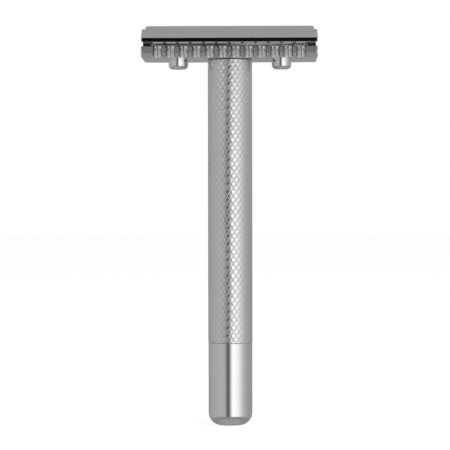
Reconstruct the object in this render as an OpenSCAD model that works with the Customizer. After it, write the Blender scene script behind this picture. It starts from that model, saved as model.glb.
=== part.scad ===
// Three-piece safety razor standing on the flat end of its handle.
// A threaded stud in the cap passes through the blade and the guard plate
// and screws into the handle, so turning the handle clamps the blade.
// Millimetres, +Z up the handle, X along the head, Y across it.

/* [Handle] */
// Height of the handle, from its flat end to the face under the head
handle_h = 89.8; // [70:0.05:110]
// Diameter over the crests of the knurled grip
grip_d = 10.9; // [10.2:0.05:14]
// Diameter of the smooth lower end
end_d = 10.8; // [10.1:0.05:14]
// Height of the smooth lower end
end_h = 20.3; // [14:0.1:30]
// Radius that rounds the smooth end into its flat face
end_fillet_r = 3; // [1:0.1:4]
// Bore of the grip tube
tube_bore_d = 8; // [7.4:0.1:9]
// Length of the spigot that holds the smooth end in the tube
spigot_h = 9; // [4:0.5:20]
// Chamfer on the rims of the grip
rim_chamfer = 0.3; // [0.1:0.05:0.6]

/* [Thread] */
// Outside diameter of the stud's M5 thread
stud_d = 5; // [4:0.1:5]
// Radial clearance of the stud in the bush
thread_gap = 0.06; // [0.02:0.01:0.1]
// Length of the threaded bush in the top of the tube
bush_h = 14; // [13:0.5:20]
// Depth of the bush below the handle's top face
bush_drop = 0.5; // [0.1:0.1:2]
// Length of stud inside the handle
stud_reach = 12.4; // [12:0.1:13]

/* [Blade] */
// Length over the blade's end tabs
blade_l = 43; // [42.6:0.1:43.4]
// Width of the blade before it is bent
blade_w = 22; // [21.6:0.1:22.4]
// Thickness of the blade
blade_t = 0.1; // [0.08:0.01:0.14]
// Length of each cutting edge
edge_l = 37.8; // [36:0.1:38.4]
// Width of each end tab
tab_w = 13; // [10:0.5:14]
// Radius that the clamped blade is bent to, at the middle of its thickness
bend_r = 20; // [18:0.5:26]
// Clearance between the blade and each plate
blade_gap = 0.04; // [0.03:0.01:0.08]

/* [Head] */
// Length of the cap and of the guard plate
head_l = 42.65; // [41:0.05:44]
// Height of the guard plate's middle, from the handle to the blade
plate_h = 5.7; // [5.2:0.1:6.4]
// Distance from the middle of the head to the outside of each guard bar
bar_y = 11.5; // [11.2:0.1:12.2]
// Distance between the centres of the two alignment posts
post_spacing = 25.35; // [22:0.05:28]
// Diameter of an alignment post
post_d = 4.8; // [3.4:0.1:5]
// Length of post that shows under the guard plate
post_drop = 2.3; // [1:0.1:4]
// Radial clearance of the stud and the posts in the guard plate
plate_gap = 0.08; // [0.05:0.01:0.1]

/* [Comb] */
// Number of notches along each guard bar
notch_count = 12; // [8:1:12]
// Distance between neighbouring notches
notch_pitch = 3.15; // [3:0.05:3.2]
// Width of a notch
notch_w = 2.35; // [1.6:0.05:2.5]
// Distance from the middle of the head to the closed end of a notch
notch_y = 9; // [8.6:0.1:9.4]

/* [Hidden] */
$fn = 96;
arc_fn = 180;
eps = 0.01;
over = 1;           // how far cutting shapes run past the solid they cut

// Guard plate levels above its underside
facet_y = 9;        // half depth of the flat underside
crease_z = 0.82;    // lower edge of the bar's front face
crest_z = 2.6;      // top of the bar
crest_w = 0.6;      // width of the bar's top
crest_r = 0.15;     // rounding along both edges of that top
bar_lean = 0.3;     // how far the bar's front face leans back
gutter_z = 1.75;    // floor of the channel behind the bar
gutter_y = 10.1;    // foot of the bar's inner face
support_y = 9.3;    // half depth of the support under the blade
bead_step = 30;     // angle between the points of those roundings
corner_r = 0.6;     // rounding of the plate's upright corners
support_set_x = 0.35; // how far the support's ends stand back, over the channels

// Cap levels
cap_t = 2.46;       // thickness over the blade, on the centre line
lip_y = 10.3;       // half depth of the cap
lip_h = 1;          // height of its upright lip
tip_y = 10;         // where the cap's underside leaves the blade
crown_drop = 3.64;  // fall from the crown to the top of the lip
cap_corner_r = 0.15; // rounding of the cap's upright corners
tab_relief_w = 12.6; // relief in the cap's ends, around the blade's tabs
tab_relief_x = 0.8;
foot_set_x = 0.45;  // how far the cap's ends stand back under the lips
crown_cut = 0.5;    // edge break on the ends of the crown

// Blade cut-outs
slot_w = 2;
slot_l = 34;
centre_hole_d = 5.8;
post_hole_d = 5.2;
tab_corner = 1;

// Bush, post and stud details
lead_in = 0.3;      // chamfer at the bush's mouth
post_round = 1;     // rounding of the posts' lower ends
seat_depth = 1.5;   // how far posts and stud enter the cap
stud_tip = 0.6;     // chamfer at the stud's lower end

plate_z = handle_h;
blade_mid_z = plate_z + plate_h + blade_gap + blade_t / 2;
bend_z = blade_mid_z - bend_r;
cap_in_r = bend_r + blade_t / 2 + blade_gap;
plate_top_r = bend_r - blade_t / 2 - blade_gap;
crown_z = bend_z + cap_in_r + cap_t;
lip_top_z = crown_z - crown_drop;
lip_z = lip_top_z - lip_h;
crown_r = (pow(lip_y, 2) + pow(crown_drop, 2)) / (2 * crown_drop);
tip_z = bend_z + sqrt(pow(cap_in_r, 2) - pow(tip_y, 2));
seat_z = bend_z + cap_in_r + seat_depth;
bush_z1 = handle_h - bush_drop;
bush_z0 = bush_z1 - bush_h;
stud_z0 = handle_h - stud_reach;
notch_r = notch_w / 2;

// A ring or disc between two heights.
module disc(d, z0, z1) {
    translate([0, 0, z0]) cylinder(d = d, h = z1 - z0);
}

// A plan outline with round corners, made from true arcs.
module round_plan(l, w, r) {
    square([l - 2 * r, w], center = true);
    square([l, w - 2 * r], center = true);
    for (sx = [-1, 1], sy = [-1, 1])
        translate([sx * (l / 2 - r), sy * (w / 2 - r)]) circle(r);
}

// Extrudes a profile drawn in Y and Z along the head.
module along_head(l) {
    translate([-l / 2, 0, 0]) rotate([90, 0, 90]) linear_extrude(l) children();
}

module handle_grip() {
    r = grip_d / 2;
    color("silver") rotate_extrude() difference() {
        polygon([[0, end_h], [r - rim_chamfer, end_h], [r, end_h + rim_chamfer],
                 [r, handle_h - rim_chamfer], [r - rim_chamfer, handle_h], [0, handle_h]]);
        translate([0, end_h - over]) square([tube_bore_d / 2, handle_h]);
    }
}

module handle_end() {
    r = end_d / 2;
    f = end_fillet_r;
    color("lightgray") rotate_extrude() {
        square([r - f, end_h]);
        translate([0, f]) square([r, end_h - f]);
        intersection() {
            translate([r - f, f]) circle(f);
            square([r, f + eps]);
        }
        translate([0, end_h - over]) square([tube_bore_d / 2, spigot_h + over]);
    }
}

module threaded_bush() {
    bore_d = stud_d + 2 * thread_gap;
    color("goldenrod") difference() {
        disc(tube_bore_d, bush_z0, bush_z1);
        disc(bore_d, bush_z0 - over, bush_z1 + over);
        translate([0, 0, bush_z1 - lead_in])
            cylinder(d1 = bore_d, d2 = bore_d + 4 * lead_in, h = 2 * lead_in);
    }
}

// The outline of half the plate, from the middle of its underside to the top of the support.
half_outline = let (front_y = bar_y - bar_lean - crest_r, back_y = bar_y - bar_lean - crest_w + crest_r,
                    mid_z = crest_z - crest_r)
    concat([[facet_y, 0], [bar_y, crease_z]],
           [for (a = [0 : bead_step : 90])
               [front_y + crest_r * cos(a), mid_z + crest_r * sin(a)]],
           [for (a = [90 : bead_step : 180])
               [back_y + crest_r * cos(a), mid_z + crest_r * sin(a)]],
           [[gutter_y, gutter_z], [support_y, gutter_z], [support_y, plate_h + over]]);

// The plate's section: a bar on each side of a support that is round on top.
module plate_section() {
    last = len(half_outline) - 1;
    difference() {
        polygon(concat(half_outline,
                       [for (k = [last : -1 : 0]) [-half_outline[k][0], half_outline[k][1]]]));
        difference() {
            translate([-support_y, gutter_z]) square([2 * support_y, plate_h]);
            translate([0, bend_z - plate_z]) circle(plate_top_r, $fn = arc_fn);
        }
    }
}

// A block past each end of the head, from the distance set_x inside it.
module past_ends(set_x, half_y, z0, z1) {
    for (side = [-1, 1])
        translate([side * (head_l / 2 - set_x + over), 0, (z0 + z1) / 2])
            cube([2 * over, 2 * half_y, z1 - z0], center = true);
}

// One notch, open towards the outside of the bar.
module notch(x, side) {
    y = notch_y + notch_r;
    open_l = bar_y + over - y;
    h = crest_z + 2 * over;
    translate([x, side * y, plate_z - over]) cylinder(r = notch_r, h = h);
    translate([x - notch_r, side > 0 ? y : -y - open_l, plate_z - over])
        cube([notch_w, open_l, h]);
}

module guard_plate() {
    first_x = -(notch_count - 1) * notch_pitch / 2;
    color("gainsboro") difference() {
        intersection() {
            translate([0, 0, plate_z]) along_head(head_l) plate_section();
            translate([0, 0, plate_z - over]) linear_extrude(plate_h + 2 * over)
                round_plan(head_l, 2 * bar_y, corner_r);
        }
        past_ends(support_set_x, gutter_y, plate_z + gutter_z, crown_z);
        for (side = [-1, 1], k = [0 : notch_count - 1]) notch(first_x + k * notch_pitch, side);
        disc(stud_d + 2 * plate_gap, plate_z - over, crown_z);
        for (x = [-post_spacing / 2, post_spacing / 2])
            translate([x, 0, 0]) disc(post_d + 2 * plate_gap, plate_z - over, crown_z);
    }
}

// A rectangle with its corners cut at 45 degrees.
module cut_corner_plan(l, w, c) {
    x = l / 2;
    y = w / 2;
    polygon([[x - c, -y], [x, c - y], [x, y - c], [x - c, y],
             [c - x, y], [-x, y - c], [-x, c - y], [c - x, -y]]);
}

// The blade's outline and holes, as wide as the bent blade is seen from above.
module blade_plan() {
    bent_half_w = bend_r * sin(blade_w / 2 / bend_r * 180 / PI);
    difference() {
        union() {
            square([edge_l, 2 * bent_half_w], center = true);
            cut_corner_plan(blade_l, tab_w, tab_corner);
        }
        square([slot_l, slot_w], center = true);
        circle(d = centre_hole_d);
        for (x = [-post_spacing / 2, post_spacing / 2])
            translate([x, 0]) circle(d = post_hole_d);
    }
}

module blade() {
    color("lightsteelblue") intersection() {
        along_head(blade_l + 2 * over) translate([0, bend_z]) difference() {
            circle(bend_r + blade_t / 2, $fn = arc_fn);
            circle(bend_r - blade_t / 2, $fn = arc_fn);
        }
        translate([0, 0, plate_z]) linear_extrude(plate_h + over) blade_plan();
    }
}

// The cap's section: a round crown, upright lips and undercut edges.
module cap_section() {
    intersection() {
        translate([0, crown_z - crown_r]) circle(crown_r, $fn = arc_fn);
        polygon([[-lip_y, crown_z + over], [-lip_y, lip_z], [-tip_y, tip_z],
                 [tip_y, tip_z], [lip_y, lip_z], [lip_y, crown_z + over]]);
    }
}

// Sets the ends of the crown back around the blade's tabs, and breaks their edges.
module crown_end_limit() {
    l = head_l / 2 - tab_relief_x;
    rotate([90, 0, 0]) linear_extrude(tab_relief_w, center = true)
        polygon([[-l, plate_z], [-l, crown_z - crown_cut], [-l + crown_cut, crown_z],
                 [l - crown_cut, crown_z], [l, crown_z - crown_cut], [l, plate_z]]);
    for (side = [-1, 1])
        translate([0, side * (tab_relief_w / 2 + lip_y), plate_z + plate_h])
            cube([head_l + 2 * over, 2 * lip_y, 4 * plate_h], center = true);
}

module top_cap() {
    color("silver") difference() {
        intersection() {
            along_head(head_l) cap_section();
            crown_end_limit();
            translate([0, 0, plate_z]) linear_extrude(2 * plate_h)
                round_plan(head_l, 2 * lip_y, cap_corner_r);
        }
        past_ends(foot_set_x, lip_y + over, plate_z, lip_z);
        along_head(head_l + 2 * over) translate([0, bend_z]) circle(cap_in_r, $fn = arc_fn);
        disc(stud_d, plate_z, seat_z);
        for (x = [-post_spacing / 2, post_spacing / 2])
            translate([x, 0, 0]) disc(post_d, plate_z, seat_z);
    }
}

module threaded_stud() {
    r = stud_d / 2;
    color("gray") rotate_extrude()
        polygon([[0, stud_z0], [r - stud_tip, stud_z0], [r, stud_z0 + stud_tip], [r, seat_z],
                 [0, seat_z]]);
}

// A post with a rounded lower end.
module alignment_post(x) {
    r = post_d / 2;
    z0 = plate_z - post_drop;
    color("silver") translate([x, 0, 0]) rotate_extrude() {
        translate([0, z0]) square([r - post_round, seat_z - z0]);
        translate([0, z0 + post_round]) square([r, seat_z - z0 - post_round]);
        intersection() {
            translate([r - post_round, z0 + post_round]) circle(post_round);
            translate([0, z0]) square([r, post_round + eps]);
        }
    }
}

module alignment_post_left() { alignment_post(-post_spacing / 2); }
module alignment_post_right() { alignment_post(post_spacing / 2); }

handle_grip();
handle_end();
threaded_bush();
guard_plate();
blade();
top_cap();
threaded_stud();
alignment_post_left();
alignment_post_right();
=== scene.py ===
"""Safety razor: knurled handle, notched guard plate, bent blade and cap, in a plain studio."""
import math

import bmesh
import bpy
from mathutils import Matrix, Vector


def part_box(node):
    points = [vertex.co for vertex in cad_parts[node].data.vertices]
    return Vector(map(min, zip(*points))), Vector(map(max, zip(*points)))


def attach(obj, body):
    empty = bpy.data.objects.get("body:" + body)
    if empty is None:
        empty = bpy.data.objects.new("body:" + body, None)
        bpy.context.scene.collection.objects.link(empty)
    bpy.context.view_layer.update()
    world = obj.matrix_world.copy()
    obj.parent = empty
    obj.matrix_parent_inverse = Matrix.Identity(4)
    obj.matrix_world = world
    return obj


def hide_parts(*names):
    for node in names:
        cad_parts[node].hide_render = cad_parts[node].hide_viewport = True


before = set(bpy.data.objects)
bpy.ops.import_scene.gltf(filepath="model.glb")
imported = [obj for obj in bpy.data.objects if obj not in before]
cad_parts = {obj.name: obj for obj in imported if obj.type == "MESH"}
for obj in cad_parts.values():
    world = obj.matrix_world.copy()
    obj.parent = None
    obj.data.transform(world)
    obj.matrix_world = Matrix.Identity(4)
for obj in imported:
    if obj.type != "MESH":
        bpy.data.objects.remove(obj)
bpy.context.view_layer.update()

MM = 0.001

grip_lo, grip_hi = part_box("handle_grip")
end_lo, end_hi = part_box("handle_end")
plate_lo, plate_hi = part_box("guard_plate")
blade_lo, blade_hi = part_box("blade")
cap_lo, cap_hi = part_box("top_cap")
stud_lo, stud_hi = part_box("threaded_stud")


# Mesh helpers -------------------------------------------------------------------------------

def piece(name, bm, body, nodes=(), sharp=30.0):
    """Makes an object from a bmesh, with smooth faces and sharp edges over an angle."""
    bmesh.ops.recalc_face_normals(bm, faces=bm.faces)
    mesh = bpy.data.meshes.new(name)
    bm.to_mesh(mesh)
    bm.free()
    mesh.shade_smooth()
    mesh.set_sharp_from_angle(angle=math.radians(sharp))
    obj = bpy.data.objects.new(name, mesh)
    bpy.context.scene.collection.objects.link(obj)
    if body:
        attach(obj, body)
    if nodes:
        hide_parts(*nodes)
    return obj


def arc(cy, cz, r, a0, a1, steps):
    """Points on an arc, from angle a0 to a1 in degrees."""
    return [(cy + r * math.cos(math.radians(a0 + (a1 - a0) * k / steps)),
             cz + r * math.sin(math.radians(a0 + (a1 - a0) * k / steps))) for k in range(steps + 1)]


def lathe(bm, profile, centre_x=0.0, segments=128, closed=False):
    """Revolves (radius, z) points about an upright axis."""
    rings = []
    for r, z in profile:
        if r < 1e-9:
            rings.append([bm.verts.new((centre_x, 0, z))])
        else:
            rings.append([bm.verts.new((centre_x + r * math.cos(2 * math.pi * k / segments),
                                        r * math.sin(2 * math.pi * k / segments), z))
                          for k in range(segments)])
    pairs = list(zip(rings, rings[1:]))
    if closed:
        pairs.append((rings[-1], rings[0]))
    for low, high in pairs:
        for k in range(segments):
            n = (k + 1) % segments
            if len(low) == 1:
                bm.faces.new((low[0], high[n], high[k]))
            elif len(high) == 1:
                bm.faces.new((low[k], low[n], high[0]))
            else:
                bm.faces.new((low[k], low[n], high[n], high[k]))


def prism(bm, outline, to_point, lo, hi):
    """Extrudes a closed 2-D outline between two depths; to_point maps (a, b, depth) to XYZ."""
    ends = [[bm.verts.new(to_point(a, b, depth)) for a, b in outline] for depth in (lo, hi)]
    bm.faces.new(ends[0])
    bm.faces.new(list(reversed(ends[1])))
    count = len(outline)
    for k in range(count):
        n = (k + 1) % count
        bm.faces.new((ends[0][n], ends[0][k], ends[1][k], ends[1][n]))


def along_x(a, b, depth):
    return (depth, a, b)


def along_y(a, b, depth):
    return (a, depth, b)


def along_z(a, b, depth):
    return (a, b, depth)


def cutter(build):
    """A helper object for a boolean, made by build(bm)."""
    bm = bmesh.new()
    build(bm)
    return piece("cutter", bm, None)


def apply_modifiers(obj):
    """Bakes an object's modifiers into its mesh."""
    graph = bpy.context.evaluated_depsgraph_get()
    mesh = bpy.data.meshes.new_from_object(obj.evaluated_get(graph))
    mesh.shade_smooth()
    obj.modifiers.clear()
    obj.data = mesh


def boolean(obj, tool, operation):
    """Applies a boolean and removes the tool."""
    mod = obj.modifiers.new("cut", "BOOLEAN")
    mod.operation = operation
    mod.solver = "EXACT"
    mod.object = tool
    apply_modifiers(obj)
    bpy.data.objects.remove(tool)


def soften(obj, width, segments=3, angle=28):
    """Rounds the edges that are sharper than an angle, and keeps the flat faces flat."""
    mod = obj.modifiers.new("edge_round", "BEVEL")
    mod.width = width
    mod.segments = segments
    mod.limit_method = "ANGLE"
    mod.angle_limit = math.radians(angle)
    mod.use_clamp_overlap = False
    apply_modifiers(obj)
    favour_big_faces(obj.data)


def favour_big_faces(mesh):
    """Sets vertex normals mostly by the largest faces, so that these keep their true shading."""
    normals = [Vector((0, 0, 0)) for _ in mesh.vertices]
    for face in mesh.polygons:
        weight = (face.area / MM ** 2) ** 2
        for index in face.vertices:
            normals[index] += face.normal * weight
    mesh.normals_split_custom_set_from_vertices([n.normalized() for n in normals])


# Materials ----------------------------------------------------------------------------------

def metal(name, colour, rough, spread=0.02, bump=0.00002, grain=(1, 1, 1), wear=0.03):
    """A metal with slow tone drift, fine directional polishing marks and faint smears."""
    mat = bpy.data.materials.new(name)
    mat.use_nodes = True
    tree = mat.node_tree
    nodes, links = tree.nodes, tree.links
    bsdf = nodes["Principled BSDF"]
    bsdf.inputs["Metallic"].default_value = 1.0
    coords = nodes.new("ShaderNodeTexCoord")
    stretch = nodes.new("ShaderNodeMapping")
    stretch.inputs["Scale"].default_value = grain
    links.new(coords.outputs["Object"], stretch.inputs["Vector"])

    def noise(scale, detail, vector):
        node = nodes.new("ShaderNodeTexNoise")
        node.inputs["Scale"].default_value = scale
        node.inputs["Detail"].default_value = detail
        links.new(vector, node.inputs["Vector"])
        return node.outputs["Fac"]

    def remap(value, low, high):
        node = nodes.new("ShaderNodeMapRange")
        node.inputs["From Min"].default_value = 0.3
        node.inputs["From Max"].default_value = 0.7
        node.inputs["To Min"].default_value = low
        node.inputs["To Max"].default_value = high
        links.new(value, node.inputs["Value"])
        return node.outputs["Result"]

    drift = noise(220.0, 3.0, coords.outputs["Object"])
    marks = noise(6000.0, 4.0, stretch.outputs["Vector"])
    smears = noise(420.0, 5.0, coords.outputs["Object"])
    ramp = nodes.new("ShaderNodeValToRGB")
    ramp.color_ramp.elements[0].position = 0.3
    ramp.color_ramp.elements[0].color = [c * (1 - spread) for c in colour] + [1]
    ramp.color_ramp.elements[1].position = 0.7
    ramp.color_ramp.elements[1].color = [min(1, c * (1 + spread)) for c in colour] + [1]
    links.new(drift, ramp.inputs["Fac"])
    links.new(ramp.outputs["Color"], bsdf.inputs["Base Color"])
    fine = remap(marks, rough * 0.85, rough * 1.15)
    smear = remap(smears, 0.0, wear)
    total = nodes.new("ShaderNodeMath")
    total.operation = "ADD"
    links.new(fine, total.inputs[0])
    links.new(smear, total.inputs[1])
    links.new(total.outputs["Value"], bsdf.inputs["Roughness"])
    height = nodes.new("ShaderNodeBump")
    height.inputs["Strength"].default_value = 0.12
    height.inputs["Distance"].default_value = bump
    links.new(marks, height.inputs["Height"])
    links.new(height.outputs["Normal"], bsdf.inputs["Normal"])
    return mat


def shade_grooves(mat, low, high, painted_shade_factor, dull):
    """Paints shade into a metal's grooves by darkening its colour there, and dulls them, by the
    distance from the handle's axis.
    """
    nodes, links = mat.node_tree.nodes, mat.node_tree.links
    base = nodes["Principled BSDF"].inputs["Base Color"]
    colour = base.links[0].from_socket
    rough = nodes["Principled BSDF"].inputs["Roughness"]
    smooth = rough.links[0].from_socket
    coords = nodes.new("ShaderNodeTexCoord")
    flat = nodes.new("ShaderNodeVectorMath")
    flat.operation = "MULTIPLY"
    flat.inputs[1].default_value = (1, 1, 0)
    links.new(coords.outputs["Object"], flat.inputs[0])
    radius = nodes.new("ShaderNodeVectorMath")
    radius.operation = "LENGTH"
    links.new(flat.outputs[0], radius.inputs[0])

    def by_height(at_low, at_high):
        level = nodes.new("ShaderNodeMapRange")
        level.inputs["From Min"].default_value = low
        level.inputs["From Max"].default_value = high
        level.inputs["To Min"].default_value = at_low
        level.inputs["To Max"].default_value = at_high
        links.new(radius.outputs["Value"], level.inputs["Value"])
        return level.outputs["Result"]

    # Painted shade: the colour is scaled down towards the groove bottoms, standing in for the shade
    # that falls in them
    shaded_colour = nodes.new("ShaderNodeVectorMath")
    shaded_colour.operation = "SCALE"
    links.new(colour, shaded_colour.inputs[0])
    links.new(by_height(painted_shade_factor, 1.0), shaded_colour.inputs["Scale"])
    links.new(shaded_colour.outputs[0], base)
    duller = nodes.new("ShaderNodeMath")
    duller.operation = "ADD"
    links.new(smooth, duller.inputs[0])
    links.new(by_height(dull, 0.0), duller.inputs[1])
    links.new(duller.outputs["Value"], rough)


STEEL = (0.70, 0.69, 0.682)
mat_grip = metal("grip_steel", STEEL, 0.10, grain=(1, 1, 0.15), bump=0.000004, wear=0.04)
mat_end = metal("end_steel", STEEL, 0.12, grain=(1, 1, 0.06), bump=0.000003, wear=0.03)
mat_head = metal("head_chrome", (0.70, 0.695, 0.692), 0.025, grain=(0.08, 1, 1), bump=0.0000012,
                 wear=0.008)
mat_notch = metal("notch_chrome", (0.68, 0.675, 0.67), 0.035, grain=(1, 1, 0.2), bump=0.0000005,
                  wear=0.01)
mat_post = metal("post_chrome", (0.70, 0.695, 0.69), 0.05, grain=(1, 1, 0.1), bump=0.000002,
                 wear=0.02)
mat_blade = metal("blade_steel", (0.44, 0.445, 0.45), 0.05, grain=(0.05, 1, 1), bump=0.000001,
                  wear=0.02)
mat_stud = metal("stud_steel", (0.58, 0.575, 0.57), 0.18, grain=(1, 1, 0.2), wear=0.05)
mat_bush = metal("bush_brass", (0.72, 0.52, 0.24), 0.2, spread=0.05, grain=(1, 1, 0.2),
                 wear=0.06)


def paint(obj, mat):
    obj.data.materials.clear()
    obj.data.materials.append(mat)


# Knurled grip -------------------------------------------------------------------------------

GRIP_R = (grip_hi.x - grip_lo.x) / 2
KNURL_DEPTH = 0.048 * MM
STARTS_RIGHT, STARTS_LEFT = 24, 23
LEAD_RIGHT, LEAD_LEFT = 1.845 * MM, 2.07 * MM
STOPS = (0.0, 0.09, 0.17, 0.5, 0.83, 0.91)
LEVELS = (0.0, 0.55, 0.96, 1.0, 0.96, 0.55)
TOP_CHAMFER, LOW_CHAMFER = 0.18 * MM, 0.1 * MM
BORE_R = 4.0 * MM


def knurl(bm, z0, z1):
    """Two crossing sets of helical grooves, as a lattice whose lines follow the grooves."""
    steps = len(STOPS)
    slope = STARTS_LEFT / LEAD_RIGHT + STARTS_RIGHT / LEAD_LEFT
    made = {}

    def phase(index):
        return index // steps + STOPS[index % steps]

    def height(u, v):
        return z0 + (STARTS_RIGHT * v - STARTS_LEFT * u) / slope

    def vert(i, j):
        turn = i // (steps * STARTS_RIGHT)
        i -= turn * steps * STARTS_RIGHT
        j -= turn * steps * STARTS_LEFT
        if (i, j) not in made:
            u, v = phase(i), phase(j)
            z = height(u, v)
            angle = 2 * math.pi * (u + (z - z0) / LEAD_RIGHT) / STARTS_RIGHT - math.pi / 2
            level = min(LEVELS[i % steps], LEVELS[j % steps])
            r = GRIP_R - KNURL_DEPTH * (1 - level)
            made[i, j] = bm.verts.new((r * math.cos(angle), r * math.sin(angle), z))
        return made[i, j]

    margin = 1.5 * MM
    for i in range(steps * STARTS_RIGHT):
        u = phase(i)
        first = math.floor((slope * -margin + STARTS_LEFT * u) / STARTS_RIGHT)
        last = math.ceil((slope * (z1 - z0 + margin) + STARTS_LEFT * u) / STARTS_RIGHT)
        for j in range(steps * first, steps * last):
            a, b, c, d = vert(i, j), vert(i + 1, j), vert(i + 1, j + 1), vert(i, j + 1)
            if (i % steps < steps // 2) == (j % steps < steps // 2):
                bm.faces.new((a, b, c))
                bm.faces.new((a, c, d))
            else:
                bm.faces.new((a, b, d))
                bm.faces.new((b, c, d))


def ring_at(bm, z):
    """The open edge loop at a height, as vertices in order round the axis."""
    loop = [v for v in bm.verts if abs(v.co.z - z) < 1e-7 and v.is_boundary]
    return sorted(loop, key=lambda v: math.atan2(v.co.y, v.co.x))


def knurled_grip():
    bm = bmesh.new()
    z0, z1 = grip_lo.z, grip_hi.z
    knurl(bm, z0, z1)
    for z, side, chamfer in ((z0, -1, LOW_CHAMFER), (z1, 1, TOP_CHAMFER)):
        for offset, clear in ((chamfer, False), (chamfer / 2, False), (0, True)):
            bmesh.ops.bisect_plane(bm, geom=bm.verts[:] + bm.edges[:] + bm.faces[:], dist=1e-8,
                                   plane_co=(0, 0, z - side * offset), plane_no=(0, 0, side),
                                   clear_outer=clear)
    bmesh.ops.remove_doubles(bm, verts=bm.verts, dist=2e-6)
    for v in bm.verts:
        low = GRIP_R - LOW_CHAMFER + (v.co.z - z0)
        top = GRIP_R - TOP_CHAMFER + (z1 - v.co.z)
        r = math.hypot(v.co.x, v.co.y)
        limit = min(low, top)
        if r > limit:
            v.co.x *= limit / r
            v.co.y *= limit / r
    inner_edges = []
    for z in (z0, z1):
        outer = ring_at(bm, z)
        inner = [bm.verts.new((BORE_R * v.co.x / math.hypot(v.co.x, v.co.y),
                               BORE_R * v.co.y / math.hypot(v.co.x, v.co.y), z)) for v in outer]
        for k in range(len(outer)):
            n = (k + 1) % len(outer)
            bm.faces.new((outer[k], outer[n], inner[n], inner[k]))
            inner_edges.append(bm.edges.get((inner[k], inner[n])))
    bmesh.ops.bridge_loops(bm, edges=inner_edges)
    obj = piece("knurled_grip", bm, "handle", ["handle_grip"], sharp=40)
    favour_big_faces(obj.data)
    # Painted shade in the knurl grooves: colour darkened to 0.92 at the groove bottoms, plus real
    # extra roughness there
    shade_grooves(mat_grip, GRIP_R - KNURL_DEPTH, GRIP_R - 0.1 * KNURL_DEPTH, 0.92, 0.35)
    paint(obj, mat_grip)
    return obj


# Smooth end ---------------------------------------------------------------------------------

def smooth_end():
    bm = bmesh.new()
    r = (end_hi.x - end_lo.x) / 2
    fillet = 3.0 * MM
    shoulder = grip_lo.z
    profile = [(0, 0), ((r - fillet) * 0.5, 0)]
    profile += arc(r - fillet, fillet, fillet, -90, 0, 24)
    profile += [(r, fillet + 0.1 * MM), (r, shoulder / 2), (r, shoulder - 0.1 * MM)]
    profile += arc(r - 0.06 * MM, shoulder - 0.06 * MM, 0.06 * MM, 0, 90, 4)
    profile += [(BORE_R - 0.02 * MM, shoulder), (BORE_R - 0.02 * MM, end_hi.z - 0.4 * MM)]
    profile += [(BORE_R - 0.4 * MM, end_hi.z), (0, end_hi.z)]
    lathe(bm, profile, segments=160)
    obj = piece("smooth_end", bm, "handle", ["handle_end"])
    paint(obj, mat_end)
    return obj


# Posts and stud -----------------------------------------------------------------------------

def post(name, node):
    lo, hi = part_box(node)
    r = (hi.x - lo.x) / 2
    rounding = 1.0 * MM
    bm = bmesh.new()
    profile = [(0, lo.z), ((r - rounding) * 0.5, lo.z)]
    profile += arc(r - rounding, lo.z + rounding, rounding, -90, 0, 14)
    profile += [(r, (lo.z + hi.z) / 2), (r, hi.z - 0.2 * MM), (r - 0.2 * MM, hi.z), (0, hi.z)]
    lathe(bm, profile, centre_x=(lo.x + hi.x) / 2, segments=96)
    obj = piece(name, bm, "cap", [node])
    paint(obj, mat_post)
    return obj


THREAD_PITCH = 0.8 * MM
THREAD_DEPTH = 0.43 * MM


def screw_stud():
    """A right-hand thread, with a cone at its tip and a plain neck under the cap."""
    bm = bmesh.new()
    r = (stud_hi.x - stud_lo.x) / 2 - 0.02 * MM
    z0, z1 = stud_lo.z, stud_hi.z
    tip, neck = 0.7 * MM, 2.4 * MM
    sides = 64
    stops = ((0.0, 0.0), (0.0625, 0.0), (0.4375, 1.0), (0.5625, 1.0), (0.9375, 0.0))
    turns = math.ceil((z1 - z0) / THREAD_PITCH) + 2
    rows = []
    for turn in range(-1, turns):
        for stop, level in stops:
            rows.append((turn + stop, level))

    def point(row, k):
        phase, level = rows[row]
        z = z0 + THREAD_PITCH * (phase + k / sides)
        angle = 2 * math.pi * k / sides
        return z, angle, r - THREAD_DEPTH * level

    made = {}

    def vert(row, k):
        if k == sides:
            row, k = row + len(stops), 0
        if (row, k) not in made:
            z, angle, radius = point(row, k)
            made[row, k] = bm.verts.new((radius * math.cos(angle), radius * math.sin(angle), z))
        return made[row, k]

    for row in range(len(rows) - len(stops) - 1):
        for k in range(sides):
            bm.faces.new((vert(row, k), vert(row, k + 1), vert(row + 1, k + 1), vert(row + 1, k)))
    for z, side in ((z0, -1), (z1, 1)):
        bmesh.ops.bisect_plane(bm, geom=bm.verts[:] + bm.edges[:] + bm.faces[:], dist=1e-8,
                               plane_co=(0, 0, z), plane_no=(0, 0, side), clear_outer=True)
    for z in (z0 + tip, z0 + tip / 2, z1 - neck):
        bmesh.ops.bisect_plane(bm, geom=bm.verts[:] + bm.edges[:] + bm.faces[:], dist=1e-8,
                               plane_co=(0, 0, z), plane_no=(0, 0, 1))
    for v in bm.verts:
        radius = math.hypot(v.co.x, v.co.y)
        limit = r - tip + (v.co.z - z0)
        goal = min(radius, limit)
        if v.co.z > z1 - neck:
            goal = r - 0.25 * MM
        v.co.x *= goal / radius
        v.co.y *= goal / radius
    for z in (z0, z1):
        loop = ring_at(bm, z)
        centre = bm.verts.new((0, 0, z))
        for k in range(len(loop)):
            bm.faces.new((loop[k], loop[(k + 1) % len(loop)], centre))
    obj = piece("screw_stud", bm, "cap", ["threaded_stud"], sharp=35)
    paint(obj, mat_stud)
    return obj


# Guard plate --------------------------------------------------------------------------------

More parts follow.
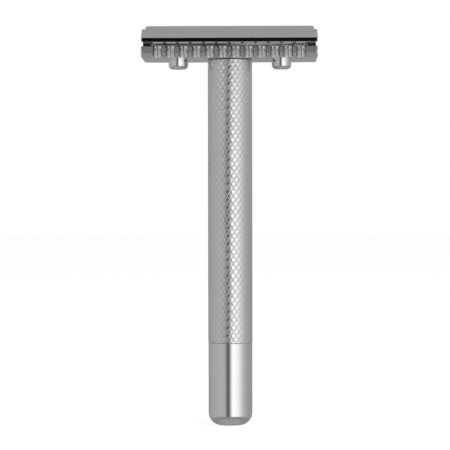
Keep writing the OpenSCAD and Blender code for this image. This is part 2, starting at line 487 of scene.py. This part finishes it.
HEAD_L = plate_hi.x - plate_lo.x
PLATE_Z = plate_lo.z
PLATE_H = 5.7 * MM
BAR_Y = plate_hi.y
BLADE_R = 20.0 * MM
BLADE_T = 0.1 * MM
BLADE_GAP = 0.04 * MM
BEND_Z = PLATE_Z + PLATE_H + BLADE_GAP + BLADE_T / 2 - BLADE_R
post_lo, post_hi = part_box("alignment_post_right")
POST_X = (post_lo.x + post_hi.x) / 2
POST_R = (post_hi.x - post_lo.x) / 2
STUD_R = (stud_hi.x - stud_lo.x) / 2
HOLE_GAP = 0.08 * MM
NOTCHES, NOTCH_PITCH, NOTCH_W, NOTCH_Y = 12, 3.15 * MM, 2.35 * MM, 9.0 * MM


def rounded_plan(half_x, half_y, r, steps=8):
    """A rectangle with round corners, seen from above."""
    plan = []
    for sx, sy, start in ((1, 1, 0), (-1, 1, 90), (-1, -1, 180), (1, -1, 270)):
        plan += arc(sx * (half_x - r), sy * (half_y - r), r, start, start + 90, steps)
    return plan


def circle(cx, r, steps=96):
    return [(cx + r * math.cos(2 * math.pi * k / steps), r * math.sin(2 * math.pi * k / steps))
            for k in range(steps)]


def guard_plate():
    """A bar with notches along each side, and a round support under the blade."""
    mm = MM
    facet_y, crease_z, bar_lean = 9.0 * mm, 0.82 * mm, 0.3 * mm
    crest_z, crest_w, crest_r = 2.6 * mm, 0.6 * mm, 0.15 * mm
    gutter_y, gutter_z, support_y = 10.1 * mm, 1.75 * mm, 9.3 * mm
    corner_r, support_set_x, rounding = 0.6 * mm, 0.35 * mm, 0.1 * mm
    side = [(facet_y, 0), (BAR_Y, crease_z)]
    side += arc(BAR_Y - bar_lean - crest_r, crest_z - crest_r, crest_r, 8, 90, 6)
    side += arc(BAR_Y - bar_lean - crest_w + crest_r, crest_z - crest_r, crest_r, 90, 180, 6)
    side += [(gutter_y, gutter_z), (support_y, gutter_z)]
    top_r = BLADE_R - BLADE_T / 2 - BLADE_GAP
    edge = math.degrees(math.acos(support_y / top_r))
    crown = arc(0, BEND_Z - PLATE_Z, top_r, edge, 180 - edge, 64)
    outline = side + crown + [(-y, z) for y, z in reversed(side)]
    outline = [(y, z + PLATE_Z) for y, z in outline]
    bm = bmesh.new()
    prism(bm, outline, along_x, -HEAD_L / 2, HEAD_L / 2)
    obj = piece("notched_plate", bm, "plate", ["guard_plate"])

    def plan_solid(bm):
        prism(bm, rounded_plan(HEAD_L / 2, BAR_Y, corner_r), along_z,
              PLATE_Z - mm, PLATE_Z + 7 * mm)

    def end_solids(bm):
        for sx in (-1, 1):
            x0, x1 = sx * (HEAD_L / 2 - support_set_x), sx * (HEAD_L / 2 + mm)
            z0, z1 = PLATE_Z + gutter_z, PLATE_Z + 8 * mm
            prism(bm, [(x0, z0), (x1, z0), (x1, z1), (x0, z1)], along_y, -gutter_y, gutter_y)

    def notch_solids(bm):
        r = NOTCH_W / 2
        for sy in (-1, 1):
            for k in range(NOTCHES):
                x = (k - (NOTCHES - 1) / 2) * NOTCH_PITCH
                y = sy * (NOTCH_Y + r)
                shape = [(x + px, y - sy * py) for px, py in arc(0, 0, r, 0, 180, 24)]
                shape += [(x - r, sy * 13 * mm), (x + r, sy * 13 * mm)]
                prism(bm, shape, along_z, PLATE_Z - mm, PLATE_Z + 4 * mm)

    def hole_solids(bm):
        for x, r in ((-POST_X, POST_R), (0, STUD_R), (POST_X, POST_R)):
            prism(bm, circle(x, r + HOLE_GAP), along_z, PLATE_Z - mm, PLATE_Z + 8 * mm)

    boolean(obj, cutter(plan_solid), "INTERSECT")
    boolean(obj, cutter(end_solids), "DIFFERENCE")
    boolean(obj, cutter(notch_solids), "DIFFERENCE")
    boolean(obj, cutter(hole_solids), "DIFFERENCE")
    soften(obj, rounding)
    paint(obj, mat_head)
    obj.data.materials.append(mat_notch)
    near = 0.01 * mm
    for face in obj.data.polygons:
        place = face.center.x / NOTCH_PITCH + (NOTCHES - 1) / 2
        beside = abs(place - round(place)) * NOTCH_PITCH < NOTCH_W / 2 + near
        inside = NOTCH_Y - near < abs(face.center.y) < BAR_Y
        upright = abs(face.normal.z) < 0.1
        if beside and inside and upright and 0 <= round(place) < NOTCHES:
            face.material_index = 1
    return obj


# Cap ----------------------------------------------------------------------------------------

def cap():
    """A round crown with upright lips and undercut edges, cut back at its ends."""
    mm = MM
    in_r = BLADE_R + BLADE_T / 2 + BLADE_GAP
    crown_z = cap_hi.z
    lip_y, drop, lip_h, tip_y = cap_hi.y, 3.64 * mm, 1.0 * mm, 10.0 * mm
    corner_r, relief_x, relief_y, crown_cut = 0.15 * mm, 0.8 * mm, 6.3 * mm, 0.5 * mm
    foot_set_x, foot_up, rounding = 0.45 * mm, 0.1 * mm, 0.04 * mm
    crown_r = (lip_y ** 2 + drop ** 2) / (2 * drop)
    edge = math.degrees(math.acos(lip_y / crown_r))
    lip_z = crown_z - drop - lip_h
    tip = math.degrees(math.acos(tip_y / in_r))
    outline = arc(0, crown_z - crown_r, crown_r, edge, 180 - edge, 96)
    outline += [(-lip_y, lip_z)]
    outline += arc(0, BEND_Z, in_r, 180 - tip, tip, 72)
    outline += [(lip_y, lip_z)]
    bm = bmesh.new()
    prism(bm, outline, along_x, -HEAD_L / 2, HEAD_L / 2)
    obj = piece("bent_cap", bm, "cap", ["top_cap"])

    def plan_solid(bm):
        prism(bm, rounded_plan(HEAD_L / 2, lip_y, corner_r), along_z,
              PLATE_Z, PLATE_Z + 12 * mm)

    def relief_solids(bm):
        for sx in (-1, 1):
            x, past_x = sx * (HEAD_L / 2 - relief_x), sx * (HEAD_L / 2 - relief_x + 2 * mm)
            cut_x = x - sx * crown_cut
            shape = [(x, PLATE_Z), (x, crown_z - crown_cut), (cut_x, crown_z),
                     (cut_x, crown_z + mm), (past_x, crown_z + mm), (past_x, PLATE_Z)]
            prism(bm, shape, along_y, -relief_y, relief_y)

    def seat_solids(bm):
        for x, r in ((-POST_X, POST_R), (0, STUD_R), (POST_X, POST_R)):
            prism(bm, circle(x, r), along_z, PLATE_Z, stud_hi.z)

    def low_end_solids(bm):
        for sx in (-1, 1):
            x0, x1 = sx * (HEAD_L / 2 - foot_set_x), sx * (HEAD_L / 2 + mm)
            z0, z1 = lip_z - 3 * mm, lip_z + foot_up
            prism(bm, [(x0, z0), (x1, z0), (x1, z1), (x0, z1)], along_y, -14 * mm, 14 * mm)

    boolean(obj, cutter(plan_solid), "INTERSECT")
    boolean(obj, cutter(relief_solids), "DIFFERENCE")
    boolean(obj, cutter(low_end_solids), "DIFFERENCE")
    boolean(obj, cutter(seat_solids), "DIFFERENCE")
    soften(obj, rounding, angle=15)
    paint(obj, mat_head)
    return obj


# Blade --------------------------------------------------------------------------------------

def blade():
    """A flat sheet with its tabs, holes and slot, ground along its edges and then bent."""
    mm = MM
    half_l = blade_hi.x
    half_w, edge_x, tab_y, cut = 11 * mm, 18.9 * mm, 6.5 * mm, 1.0 * mm
    post_hole_r, stud_hole_r = 2.6 * mm, 2.9 * mm
    slot_half_l, slot_half_w = 17.0 * mm, 1.0 * mm
    rows = [half_w * k / 44 for k in range(-44, 45)]
    bm = bmesh.new()
    top = [[bm.verts.new((x, s, BLADE_T / 2)) for x in (-half_l, half_l)] for s in rows]
    low = [[bm.verts.new((x, s, -BLADE_T / 2)) for x in (-half_l, half_l)] for s in rows]
    for k in range(len(rows) - 1):
        bm.faces.new((top[k][0], top[k][1], top[k + 1][1], top[k + 1][0]))
        bm.faces.new((low[k][1], low[k][0], low[k + 1][0], low[k + 1][1]))
        for x in (0, 1):
            bm.faces.new((top[k][x], top[k + 1][x], low[k + 1][x], low[k][x]))
    for k in (0, len(rows) - 1):
        bm.faces.new((top[k][0], top[k][1], low[k][1], low[k][0]))
    obj = piece("bent_blade", bm, "blade", ["blade"])

    def cut_outs(bm):
        for sx in (-1, 1):
            for sy in (-1, 1):
                shape = [(edge_x, half_w + mm), (edge_x, tab_y), (half_l - cut, tab_y),
                         (half_l, tab_y - cut), (half_l + mm, tab_y - cut),
                         (half_l + mm, half_w + mm)]
                prism(bm, [(sx * x, sy * y) for x, y in shape], along_z, -mm, mm)
        for x, r in ((-POST_X, post_hole_r), (0, stud_hole_r), (POST_X, post_hole_r)):
            prism(bm, circle(x, r, 64), along_z, -mm, mm)

    def slot(bm):
        x, y = slot_half_l, slot_half_w
        prism(bm, [(-x, -y), (x, -y), (x, y), (-x, y)], along_z, -mm, mm)

    boolean(obj, cutter(cut_outs), "DIFFERENCE")
    boolean(obj, cutter(slot), "DIFFERENCE")
    grind, edge_share = 0.9 * mm, 0.04
    for v in obj.data.vertices:
        s = v.co.y
        taper = 1.0
        if abs(v.co.x) < edge_x + 1e-6:
            taper = max(edge_share, min(1.0, (half_w - abs(s)) / grind))
        r = BLADE_R + v.co.z * taper
        v.co = Vector((v.co.x, r * math.sin(s / BLADE_R), BEND_Z + r * math.cos(s / BLADE_R)))
    obj.data.update()
    paint(obj, mat_blade)
    return obj


knurled_grip()
smooth_end()
post("post_left", "alignment_post_left")
post("post_right", "alignment_post_right")
screw_stud()
guard_plate()
cap()
blade()
paint(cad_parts["threaded_bush"], mat_bush)


# Studio -------------------------------------------------------------------------------------

def floor():
    """A pale disc that the metal doesn't reflect."""
    bm = bmesh.new()
    bmesh.ops.create_circle(bm, cap_ends=True, segments=96, radius=3.0)
    obj = piece("studio_floor", bm, None)
    obj.location.z = -0.00005
    obj.visible_glossy = False
    mat = bpy.data.materials.new("floor_white")
    mat.use_nodes = True
    nodes, links = mat.node_tree.nodes, mat.node_tree.links
    nodes.clear()
    out = nodes.new("ShaderNodeOutputMaterial")
    glow = nodes.new("ShaderNodeEmission")
    glow.inputs["Strength"].default_value = 0.80
    matte = nodes.new("ShaderNodeBsdfDiffuse")
    matte.inputs["Color"].default_value = (0.55, 0.55, 0.55, 1)
    both = nodes.new("ShaderNodeAddShader")
    links.new(glow.outputs[0], both.inputs[0])
    links.new(matte.outputs[0], both.inputs[1])
    links.new(both.outputs[0], out.inputs["Surface"])
    paint(obj, mat)
    return obj


def studio_world():
    """White to the camera; to the metal, a gray room with a softbox and dark cards."""
    world = bpy.data.worlds.new("studio")
    bpy.context.scene.world = world
    world.use_nodes = True
    nodes, links = world.node_tree.nodes, world.node_tree.links
    nodes.clear()
    coords = nodes.new("ShaderNodeTexCoord")
    split = nodes.new("ShaderNodeSeparateXYZ")
    links.new(coords.outputs["Generated"], split.inputs[0])

    def math_node(operation, a, b=None):
        node = nodes.new("ShaderNodeMath")
        node.operation = operation
        for slot, value in zip(node.inputs, (a, b)):
            if value is None:
                continue
            if isinstance(value, (int, float)):
                slot.default_value = value
            else:
                links.new(value, slot)
        return node.outputs[0]

    def band(value, stops, low, high):
        """A curve through (position, brightness) stops, between two positions."""
        span = nodes.new("ShaderNodeMapRange")
        span.inputs["From Min"].default_value = low
        span.inputs["From Max"].default_value = high
        links.new(value, span.inputs["Value"])
        ramp = nodes.new("ShaderNodeValToRGB")
        elements = ramp.color_ramp.elements
        for k, (position, bright) in enumerate(stops):
            at = (position - low) / (high - low)
            element = elements[k] if k < 2 else elements.new(at)
            element.position = at
            element.color = (bright / 2, bright / 2, bright / 2, 1)
        links.new(span.outputs["Result"], ramp.inputs["Fac"])
        return math_node("MULTIPLY", ramp.outputs["Color"], 2.0)

    degrees = 180 / math.pi
    flip = math_node("MULTIPLY", split.outputs["Y"], -1.0)
    azimuth = math_node("MULTIPLY", math_node("ARCTAN2", split.outputs["X"], flip), degrees)
    elevation = math_node("MULTIPLY", math_node("ARCSINE", split.outputs["Z"]), degrees)
    round_room = band(azimuth, [
        (-180, 0.31), (-140, 0.42), (-100, 0.53), (-70, 0.56), (-45, 0.60), (-33, 0.56),
        (-23.5, 0.50), (-19, 0.16), (-6.5, 0.16), (-1.5, 0.40), (2.8, 0.72), (6, 1.12),
        (9, 1.34), (13, 1.47), (20, 1.45), (40, 1.30), (48, 1.10), (60, 0.86), (73, 0.66),
        (87, 0.52), (100, 0.47), (140, 0.40), (180, 0.31)], -180, 180)
    up_room = band(elevation, [(-90, 0.45), (-60, 0.44), (-45, 0.34), (-30, 0.33),
                               (10, 0.38), (25, 0.39), (70, 0.44), (90, 0.44)], -90, 90)
    level = band(elevation, [(-90, 0), (-29, 0), (-26, 2.0), (12, 2.0), (17, 0), (90, 0)],
                 -90, 90)
    weight = math_node("MULTIPLY", level, 0.5)
    room = math_node("ADD", math_node("MULTIPLY", round_room, weight),
                     math_node("MULTIPLY", up_room, math_node("SUBTRACT", 1.0, weight)))

    # A dark opening, high up in front
    gap_up = band(elevation, [(-90, 0), (22, 0), (28, 2), (78, 2), (86, 0), (90, 0)], -90, 90)
    gap_side = band(azimuth, [(-180, 0), (-75, 0), (-50, 2), (50, 2), (75, 0), (180, 0)],
                    -180, 180)
    gap = math_node("MULTIPLY", math_node("MULTIPLY", gap_up, gap_side), 0.22)
    room = math_node("MULTIPLY", room, math_node("SUBTRACT", 1.0, gap))

    # A thin belt just above the horizon, black in front, which the lip and the notches show
    belt_up = band(elevation, [(-90, 0), (3.86, 0), (3.94, 2), (9, 2), (10, 0), (90, 0)],
                   -90, 90)
    belt = math_node("MULTIPLY", belt_up, 0.5)
    belt_room = band(azimuth, [
        (-180, 0.45), (-92, 0.56), (-62, 0.72), (-40, 0.95), (-28, 0.90), (-16, 0.55),
        (-8, 0.10), (-6, 0.0), (5, 0.0), (8, 0.04), (14, 0.08), (30, 0.14), (44, 0.42),
        (56, 0.85), (80, 0.80), (180, 0.45)], -180, 180)
    lit = math_node("ADD", math_node("MULTIPLY", belt_room, belt),
                    math_node("MULTIPLY", room, math_node("SUBTRACT", 1.0, belt)))
    rays = nodes.new("ShaderNodeLightPath")
    pick = math_node("ADD", math_node("MULTIPLY", rays.outputs["Is Camera Ray"],
                                      math_node("SUBTRACT", 1.0, lit)), lit)
    back = nodes.new("ShaderNodeBackground")
    tint = nodes.new("ShaderNodeCombineColor")
    for channel in ("Red", "Green", "Blue"):
        links.new(pick, tint.inputs[channel])
    links.new(tint.outputs["Color"], back.inputs["Color"])
    out = nodes.new("ShaderNodeOutputWorld")
    links.new(back.outputs[0], out.inputs["Surface"])


def camera():
    data = bpy.data.cameras.new("camera")
    data.sensor_width = 36.0
    data.lens = 169.9
    data.clip_start, data.clip_end = 0.01, 20
    obj = bpy.data.objects.new("camera", data)
    bpy.context.scene.collection.objects.link(obj)
    place = Vector((0.0073, -0.5229, 0.0549))
    look = Vector((-0.00128, 0, 0.0492)) - place
    roll = Matrix.Rotation(math.radians(-0.1), 4, "Z")
    turn = look.to_track_quat("-Z", "Y").to_matrix().to_4x4()
    obj.matrix_world = Matrix.Translation(place) @ turn @ roll
    bpy.context.scene.camera = obj


def lights():
    data = bpy.data.lights.new("top_light", "AREA")
    data.shape = "DISK"
    data.size = 0.5
    data.energy = 2.0
    obj = bpy.data.objects.new("top_light", data)
    bpy.context.scene.collection.objects.link(obj)
    obj.location = (0.35, -0.35, 0.8)
    obj.rotation_euler = (Vector((0, 0, 0.03)) - obj.location).to_track_quat("-Z", "Y").to_euler()
    obj.visible_glossy = False


floor()
studio_world()
camera()
lights()
bpy.context.scene.view_settings.view_transform = "Standard"
bpy.context.scene.view_settings.look = "None"
